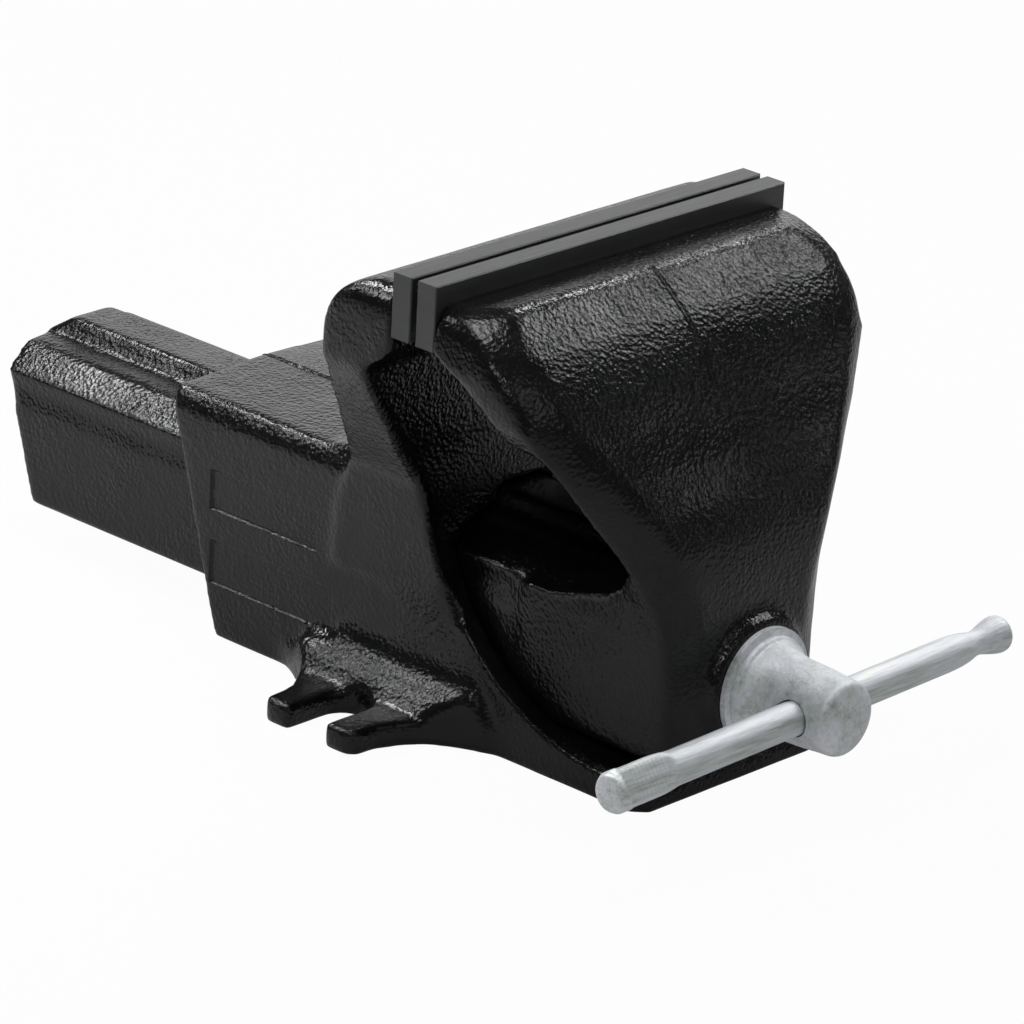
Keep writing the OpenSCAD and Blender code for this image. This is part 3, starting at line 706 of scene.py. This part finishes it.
def handle_bar():
    """Tommy bar: flattened, ribbed stop on the left, necked and headed end on the right."""
    axis_x, flange_y, axis_z = screw_axis()
    r = HANDLE_R / MM
    left, right = -HANDLE_LEFT / MM, HANDLE_RIGHT / MM
    # (place along the bar, radius) in mm: the stop's end, its ribs, the shank, then neck and head
    stations = [(left, r - 0.9), (left + 0.15, r - 0.2), (left + 0.5, r + 0.35), (left + 1.1, r + 0.75),
                (left + 1.8, r + 0.9), (left + 2.6, r + 0.9), (left + 3.4, r + 0.8),
                (left + 4.2, r + 0.6)]
    stations += [(left + 5 + 0.24 * i, r + max(0.0, 0.4 - 0.1 * i)) for i in range(132)]
    stations += [(-80, r), (-60, r), (-30, r), (-20, r), (0, r), (20, r), (40, r)]
    tail = [(right - 37, r), (right - 31, r - 0.12), (right - 26, r - 0.5), (right - 22, r - 1.1),
            (right - 18.6, r - 1.85), (right - 16.2, r - 2.0), (right - 13.4, r - 1.6),
            (right - 10.2, r - 0.75), (right - 7.2, r), (right - 4.6, r + 0.5),
            (right - 2.6, r + 0.62), (right - 1.2, r + 0.35), (right - 0.4, r - 0.4),
            (right, r - 1.6), (right - 0.1, r - 2.3), (right - 0.55, r - 2.9), (right - 0.6, r - 3.6)]
    stations += [(p.x, p.y) for p in smooth_line([(a, b, 0) for a, b in tail], 5)]
    rings = []
    for s, radius in stations:
        rings.append([bar_point(s, radius, 2 * math.pi * k / HANDLE_SIDES, left)
                      for k in range(HANDLE_SIDES)])
    first = [(stations[0][0], p[1] * 0.02, p[2] * 0.02) for p in rings[0]]
    last = [(stations[-1][0], p[1] * 0.02, p[2] * 0.02) for p in rings[-1]]
    piece = rings_mesh("tommy_bar", [first] + rings + [last])
    centre = (axis_x, flange_y - CROSS_OUT, axis_z)
    piece.data.transform(Matrix.Translation(centre) @ Matrix.Rotation(-HANDLE_TILT, 4, "Y")
                         @ Matrix.Scale(MM, 4))
    dress(piece, "handle", ZINC_BAR, ["handle_bar"], 50)


def bar_point(s, radius, angle, left):
    """A point of the bar's skin in mm. The stop is pressed flat on two sides and swells between."""
    along = np.float64(s - left)
    flat = float(step_up(along, 2.4, 4.4) * (1 - step_up(along, 27.0, 34.0)))
    wide = float(step_up(along, 2.0, 5.0) * (1 - step_up(along, 22.0, 37.0)))
    face = math.radians(56 + 90)
    c, n = math.cos(angle - face), math.sin(angle - face)
    half_thick = radius * (1 - 0.215 * flat)
    half_wide = radius + wide
    power = 2 + 3.0 * flat
    reach = (abs(c / half_thick) ** power + abs(n / half_wide) ** power) ** (-1 / power)
    ribbed = float(step_up(along, 9.4, 10.6) * (1 - step_up(along, 27.4, 28.6)))
    rib = abs(math.sin(math.pi * float(along) / RIB_PITCH))
    on_flat = min(1.0, 1.6 * flat ** 6 * max(0.0, abs(c) - 0.45) / 0.55)
    reach -= on_flat * (0.4 - ribbed * 0.4 * rib ** 0.7)
    return (s, reach * math.cos(angle), reach * math.sin(angle))


def washer(node, name, hole_r, material, body="screw", edge=0.5 * MM):
    """A turned washer with rounded rims, over the node's own box."""
    low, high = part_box(node)
    r = (high.x - low.x) / 2
    bend = [math.sin(a) for a in np.linspace(0, math.pi / 2, 5)]
    front = [(low.y + edge * (1 - s), r - edge * (1 - math.sqrt(1 - (1 - s) ** 2))) for s in bend]
    back = [(low.y + high.y - y, rr) for y, rr in reversed(front)]
    front[0] = (low.y, front[0][1])
    back[-1] = (high.y, back[-1][1])
    loop = [(low.y, hole_r), (low.y, (hole_r + r) / 2)] + front + back
    loop += [(high.y, (hole_r + r) / 2), (high.y, hole_r), (low.y, hole_r)]
    piece = lathe(name, loop, (low.x + high.x) / 2, (low.z + high.z) / 2, 112, False)
    weld(piece.data)
    dress(piece, body, material, [node], 40)


def back_off_spring():
    """Round-wire compression spring with closed ends."""
    low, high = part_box("back_off_spring")
    axis_x, _, axis_z = screw_axis()
    wire_r = SPRING_WIRE_R
    coil_r = (high.x - low.x) / 2 - wire_r
    around, sides = 48, 16
    end_turns = 0.75         # closed turns at each end, a little over a wire's width apart
    rise = high.y - low.y - 2 * wire_r
    end_rise = end_turns * (2 * wire_r + 0.1 * MM)
    count = int(SPRING_TURNS * around)
    rings = []
    for i in range(count + 1):
        t = SPRING_TURNS * i / count
        y = np.interp(t, (0, end_turns, SPRING_TURNS - end_turns, SPRING_TURNS),
                      (0, end_rise, rise - end_rise, rise))
        angle = 2 * math.pi * t
        ring = []
        for k in range(sides):
            bend = 2 * math.pi * k / sides
            r = coil_r + wire_r * math.cos(bend)
            ring.append((axis_x + r * math.cos(angle), low.y + wire_r + y + wire_r * math.sin(bend),
                         axis_z + r * math.sin(angle)))
        rings.append(ring)
    dress(rings_mesh("spring_wire", rings), "screw", SPRING_STEEL,
          ["back_off_spring"], 50)


def plain_nodes():
    """CAD pieces whose shape stays, with their own materials."""
    for name, material in (
        ("fixed_plate_screws", BLACK_STEEL), ("movable_plate_screws", BLACK_STEEL),
        ("spindle_nut", NUT_IRON), ("nut_bolts", BLACK_STEEL), ("nut_washers", PLAIN_STEEL),
        ("nut_dowels", PLAIN_STEEL), ("split_pin", PLAIN_STEEL), ("stop_collar", PLAIN_STEEL),
        ("stop_pin", SPRING_STEEL),
    ):
        node = nodes[name]
        node.data.materials.clear()
        node.data.materials.append(material)


# ---------- floor, light and camera ----------

def studio_floor():
    """Pale floor that reads white to the camera and keeps a soft shadow."""
    floor = mesh_piece("studio_floor", [(-4, -4, 0), (4, -4, 0), (4, 4, 0), (-4, 4, 0)], [(0, 1, 2, 3)])
    material = bpy.data.materials.new("floor_white")
    material.use_nodes = True
    tree = material.node_tree
    surface = tree.nodes["Principled BSDF"]
    surface.inputs["Base Color"].default_value = (FLOOR_TONE, FLOOR_TONE, FLOOR_TONE, 1)
    surface.inputs["Roughness"].default_value = 0.9
    surface.inputs["Specular IOR Level"].default_value = 0.0
    white = tree.nodes.new("ShaderNodeEmission")
    white.inputs["Color"].default_value = (1, 1, 1, 1)
    white.inputs["Strength"].default_value = 1.0
    path = tree.nodes.new("ShaderNodeLightPath")
    white_share = None
    for ray, part in FLOOR_WHITE:
        share = tree.nodes.new("ShaderNodeMath")
        share.operation = "MULTIPLY"
        share.inputs[1].default_value = part
        tree.links.new(path.outputs[ray], share.inputs[0])
        if white_share is None:
            white_share = share.outputs[0]
            continue
        total = tree.nodes.new("ShaderNodeMath")
        total.operation = "ADD"
        tree.links.new(white_share, total.inputs[0])
        tree.links.new(share.outputs[0], total.inputs[1])
        white_share = total.outputs[0]
    mix = tree.nodes.new("ShaderNodeMixShader")
    tree.links.new(white_share, mix.inputs["Fac"])
    tree.links.new(surface.outputs["BSDF"], mix.inputs[1])
    tree.links.new(white.outputs["Emission"], mix.inputs[2])
    tree.links.new(mix.outputs["Shader"], tree.nodes["Material Output"].inputs["Surface"])
    floor.data.materials.append(material)


def softbox(name, place, target, size, power, spread=180):
    light = bpy.data.lights.new(name, "AREA")
    light.shape = "RECTANGLE"
    light.size, light.size_y = size
    light.energy = power
    light.spread = math.radians(spread)
    lamp = bpy.data.objects.new(name, light)
    bpy.context.scene.collection.objects.link(lamp)
    lamp.location = place
    lamp.rotation_euler = (Vector(target) - Vector(place)).to_track_quat("-Z", "Y").to_euler()


def lights():
    aim = (0, 0, 0.1)
    softbox("rear_key", (-0.15, 0.98, 1.2), aim, (0.3, 0.3), 9)
    softbox("rear_left_box", (-0.72, 0.95, 0.93), aim, (0.24, 0.4), 3.8)
    softbox("rear_right_card", (1.25, 1.15, 0.62), aim, (1.5, 0.9), 5.5)
    softbox("right_box", (0.95, -0.26, 0.97), aim, (0.4, 0.4), 3.6)
    softbox("edge_lamp", (1.0, 0.36, 1.1), aim, (0.15, 0.15), 2.6)
    softbox("top_box", (0.0, 0.0, 1.4), aim, (0.36, 0.36), 4.0)
    softbox("front_card", (-0.2, -1.1, 0.85), aim, (0.6, 0.5), 1.1)
    softbox("left_box", (-1.0, -0.51, 0.99), aim, (0.15, 0.15), 2.0)
    softbox("front_right_low", (0.95, -0.9, 0.42), aim, (0.15, 0.15), 0.25)
    softbox("floor_pool", (-0.36, 0.26, 0.9), (-0.34, 0.25, 0), (0.3, 0.3), 0.85, 50)
    world = bpy.data.worlds.new("studio_air")
    bpy.context.scene.world = world
    world.use_nodes = True
    air = world.node_tree.nodes["Background"]
    air.inputs["Color"].default_value = AIR_COLOUR
    air.inputs["Strength"].default_value = AIR_STRENGTH


def camera():
    """The photograph's view: a long lens from the front left, a little above."""
    lens = bpy.data.cameras.new("camera")
    lens.lens = LENS
    lens.sensor_width = 36
    lens.clip_start, lens.clip_end = 0.1, 50
    eye = bpy.data.objects.new("camera", lens)
    bpy.context.scene.collection.objects.link(eye)
    back = Vector((math.sin(EYE_AZIMUTH) * math.cos(EYE_HEIGHT),
                   -math.cos(EYE_AZIMUTH) * math.cos(EYE_HEIGHT), math.sin(EYE_HEIGHT)))
    right = Vector((math.cos(EYE_AZIMUTH), math.sin(EYE_AZIMUTH), 0))
    up = back.cross(right)
    turned_right = right * math.cos(EYE_ROLL) + up * math.sin(EYE_ROLL)
    turned_up = up * math.cos(EYE_ROLL) - right * math.sin(EYE_ROLL)
    pose = Matrix((turned_right, turned_up, back)).transposed().to_4x4()
    pose.translation = EYE
    eye.matrix_world = pose
    bpy.context.scene.camera = eye
    bpy.context.scene.view_settings.view_transform = "Standard"


camera()
lights()
studio_floor()
fixed_casting()
jaw_casting()
jaw_plate("fixed_jaw_plate", "fixed_plate", "base", -1)
jaw_plate("movable_jaw_plate", "movable_plate", "sliding_jaw", 1)
screw_head()
screw_thread()
handle_bar()
washer("front_thrust_washer", "front_washer", JOURNAL_R + WASHER_PLAY, ZINC_CAST)
washer("rear_thrust_washer", "rear_washer", SCREW_R + WASHER_PLAY, PLAIN_STEEL)
washer("spring_seat_washer", "seat_washer", SCREW_R + WASHER_PLAY, PLAIN_STEEL)
back_off_spring()
plain_nodes()
